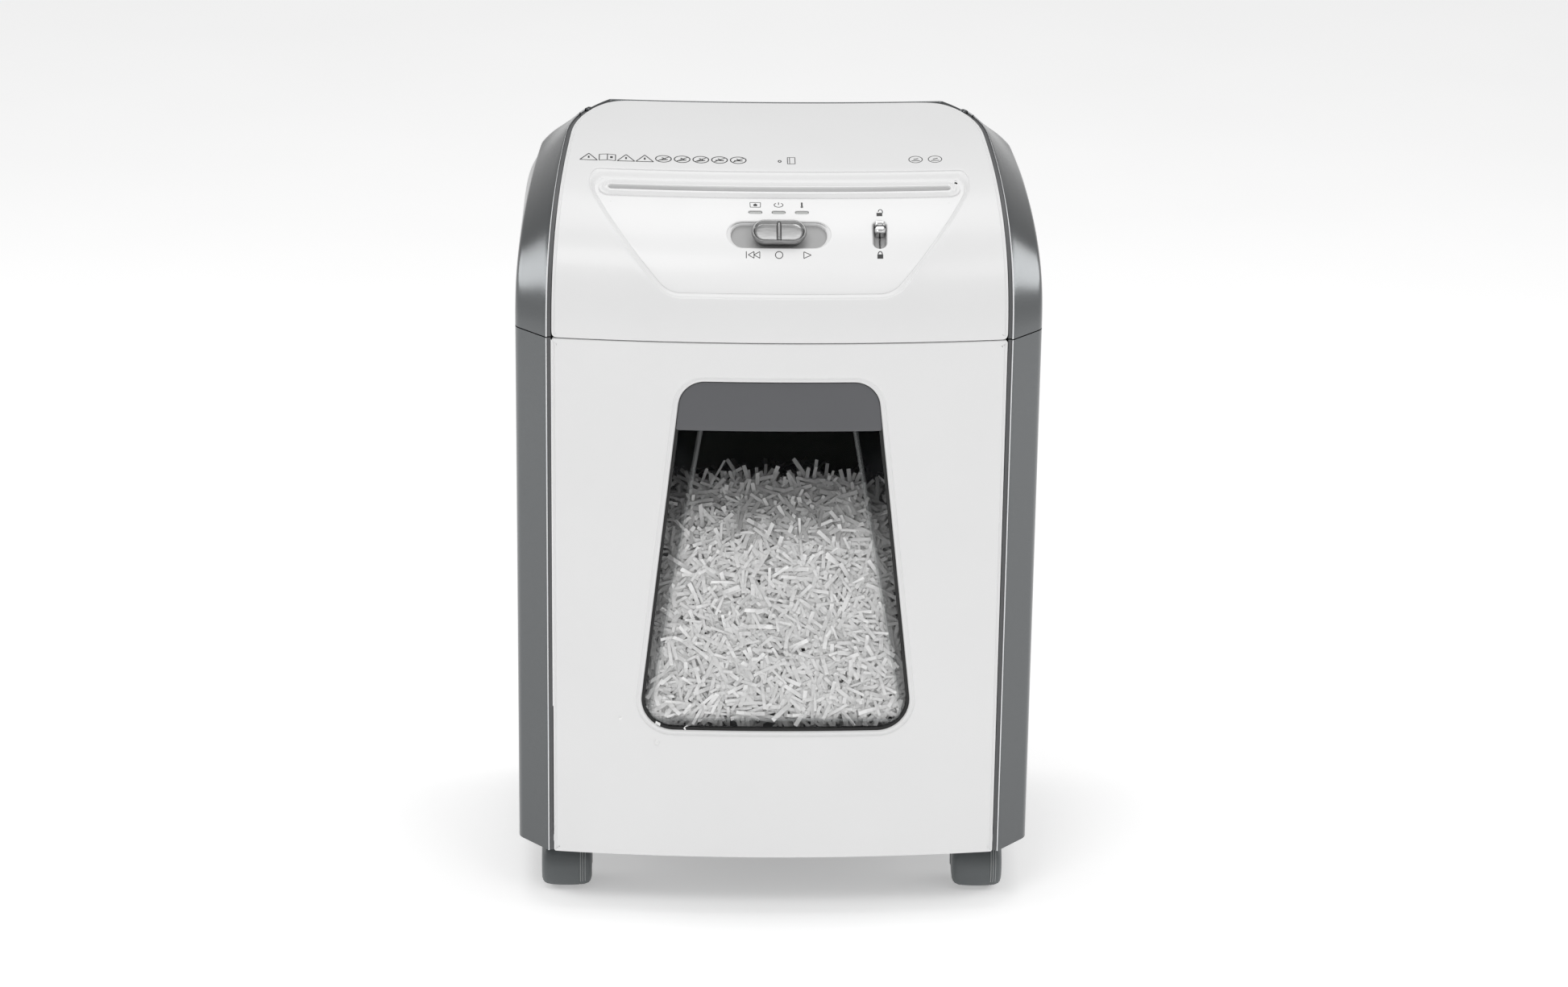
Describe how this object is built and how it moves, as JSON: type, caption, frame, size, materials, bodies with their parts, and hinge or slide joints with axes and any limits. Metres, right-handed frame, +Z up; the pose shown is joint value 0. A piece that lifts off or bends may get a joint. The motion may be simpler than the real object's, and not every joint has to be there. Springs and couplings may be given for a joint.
{
  "type": "paper shredder",
  "caption": "Cross-cut office paper shredder on swivel casters, with a slide-out bin behind a tapered window, a curved head with feed slot, sliding mode switch and lock.",
  "frame": {"origin": "on the floor, below the middle of the machine's box", "axes": "+Z up, the front with the window faces -Y, +X to the right of someone facing the front"},
  "size_m": [0.348, 0.2618, 0.5218],
  "materials": {
    "white_shell": "satin gloss moulded shell",
    "panel_white": "satin gloss moulded panel",
    "silver_side": "metallic silver-grey paint on moulded plastic",
    "charcoal_plastic": "fine grained charcoal plastic",
    "handle_plastic": "fine grained dark grey plastic",
    "clear_pane": "smoked clear moulding",
    "gasket_rubber": "soft black seal",
    "guide_plastic": "light grey plastic",
    "led_lens": "milky lens",
    "knob_metal": "satin plated knob",
    "cutter_steel": "machined steel",
    "gear_nylon": "natural nylon",
    "motor_can": "dull painted steel can",
    "circuit_board": "green board with components",
    "paper": "loose cross-cut paper",
    "wheel_tread": "hard dark tread"
  },
  "bodies": {
    "cabinet": {"head_cover": "white_shell", "control_panel": "panel_white", "feed_bezel": "panel_white", "cabinet_left_side": "silver_side", "cabinet_right_side": "silver_side", "cabinet_back": "silver_side", "head_left_shell": "silver_side", "head_right_shell": "silver_side", "head_rear_cover": "silver_side", "cabinet_base": "charcoal_plastic", "cabinet_deck": "charcoal_plastic", "cord_gland": "charcoal_plastic", "switch_well": "guide_plastic", "lock_well": "guide_plastic", "throat_front": "guide_plastic", "throat_rear": "guide_plastic", "led_bin": "led_lens", "led_power": "led_lens", "led_alert": "led_lens", "cutter_plate_left": "cutter_steel", "cutter_plate_right": "cutter_steel", "tie_rod_front": "cutter_steel", "tie_rod_middle": "cutter_steel", "tie_rod_rear": "cutter_steel", "bin_rail_left": "cutter_steel", "bin_rail_right": "cutter_steel", "caster_stem_front_left": "cutter_steel", "caster_stem_front_right": "cutter_steel", "caster_stem_rear_left": "cutter_steel", "caster_stem_rear_right": "cutter_steel", "motor": "motor_can", "control_board": "circuit_board"},
    "bin": {"bin_front": "white_shell", "bin_handle": "handle_plastic", "window_gasket": "gasket_rubber", "window_pane": "clear_pane", "bin_tub": "charcoal_plastic", "shredded_paper": "paper"},
    "mode_slider": {"mode_knob": "knob_metal"},
    "lock_slider": {"lock_knob": "knob_metal"},
    "rear_cutter": {"cutter_rear": "cutter_steel", "sync_gear_rear": "cutter_steel", "drive_gear": "cutter_steel"},
    "front_cutter": {"cutter_front": "cutter_steel", "sync_gear_front": "cutter_steel"},
    "reduction": {"reduction_gear": "gear_nylon"},
    "motor_rotor": {"motor_pinion": "cutter_steel"},
    "caster_front_left": {"caster_hood_front_left": "charcoal_plastic"},
    "wheels_front_left": {"caster_wheels_front_left": "wheel_tread"},
    "caster_front_right": {"caster_hood_front_right": "charcoal_plastic"},
    "wheels_front_right": {"caster_wheels_front_right": "wheel_tread"},
    "caster_rear_left": {"caster_hood_rear_left": "charcoal_plastic"},
    "wheels_rear_left": {"caster_wheels_rear_left": "wheel_tread"},
    "caster_rear_right": {"caster_hood_rear_right": "charcoal_plastic"},
    "wheels_rear_right": {"caster_wheels_rear_right": "wheel_tread"}
  },
  "joints": [
    {"name": "bin_pull", "type": "slide", "parent": "cabinet", "child": "bin", "axis": [0, -1, 0], "range_m": [0, 0.215]},
    {"name": "mode_slide", "type": "slide", "parent": "cabinet", "child": "mode_slider", "axis": [1, 0, 0], "range_m": [-0.013, 0.013]},
    {"name": "lock_slide", "type": "slide", "parent": "cabinet", "child": "lock_slider", "axis": [0, -0.7508, -0.6606], "range_m": [0, 0.0088]},
    {"name": "rear_cutter_spin", "type": "hinge", "parent": "cabinet", "child": "rear_cutter", "pos_m": [0, -0.0521, 0.448], "axis": [1, 0, 0], "continuous": true},
    {"name": "front_cutter_spin", "type": "hinge", "parent": "cabinet", "child": "front_cutter", "pos_m": [0, -0.0861, 0.448], "axis": [1, 0, 0], "continuous": true},
    {"name": "reduction_spin", "type": "hinge", "parent": "cabinet", "child": "reduction", "pos_m": [0.13, -0.01008, 0.45926], "axis": [1, 0, 0], "continuous": true},
    {"name": "motor_spin", "type": "hinge", "parent": "cabinet", "child": "motor_rotor", "pos_m": [0.13, 0.02833, 0.45249], "axis": [1, 0, 0], "continuous": true},
    {"name": "swivel_front_left", "type": "hinge", "parent": "cabinet", "child": "caster_front_left", "pos_m": [-0.1415, -0.087, 0.035], "axis": [0, 0, 1], "continuous": true},
    {"name": "roll_front_left", "type": "hinge", "parent": "caster_front_left", "child": "wheels_front_left", "pos_m": [-0.1415, -0.077, 0.0175], "axis": [1, 0, 0], "continuous": true},
    {"name": "swivel_front_right", "type": "hinge", "parent": "cabinet", "child": "caster_front_right", "pos_m": [0.1415, -0.087, 0.035], "axis": [0, 0, 1], "continuous": true},
    {"name": "roll_front_right", "type": "hinge", "parent": "caster_front_right", "child": "wheels_front_right", "pos_m": [0.1415, -0.077, 0.0175], "axis": [1, 0, 0], "continuous": true},
    {"name": "swivel_rear_left", "type": "hinge", "parent": "cabinet", "child": "caster_rear_left", "pos_m": [-0.1415, 0.067, 0.035], "axis": [0, 0, 1], "continuous": true},
    {"name": "roll_rear_left", "type": "hinge", "parent": "caster_rear_left", "child": "wheels_rear_left", "pos_m": [-0.1415, 0.077, 0.0175], "axis": [1, 0, 0], "continuous": true},
    {"name": "swivel_rear_right", "type": "hinge", "parent": "cabinet", "child": "caster_rear_right", "pos_m": [0.1415, 0.067, 0.035], "axis": [0, 0, 1], "continuous": true},
    {"name": "roll_rear_right", "type": "hinge", "parent": "caster_rear_right", "child": "wheels_rear_right", "pos_m": [0.1415, 0.077, 0.0175], "axis": [1, 0, 0], "continuous": true}
  ],
  "couplings": [
    {"joint": "front_cutter_spin", "follows": "rear_cutter_spin", "ratio": -1},
    {"joint": "reduction_spin", "follows": "rear_cutter_spin", "ratio": -3.1429},
    {"joint": "motor_spin", "follows": "rear_cutter_spin", "ratio": 10.476}
  ]
}
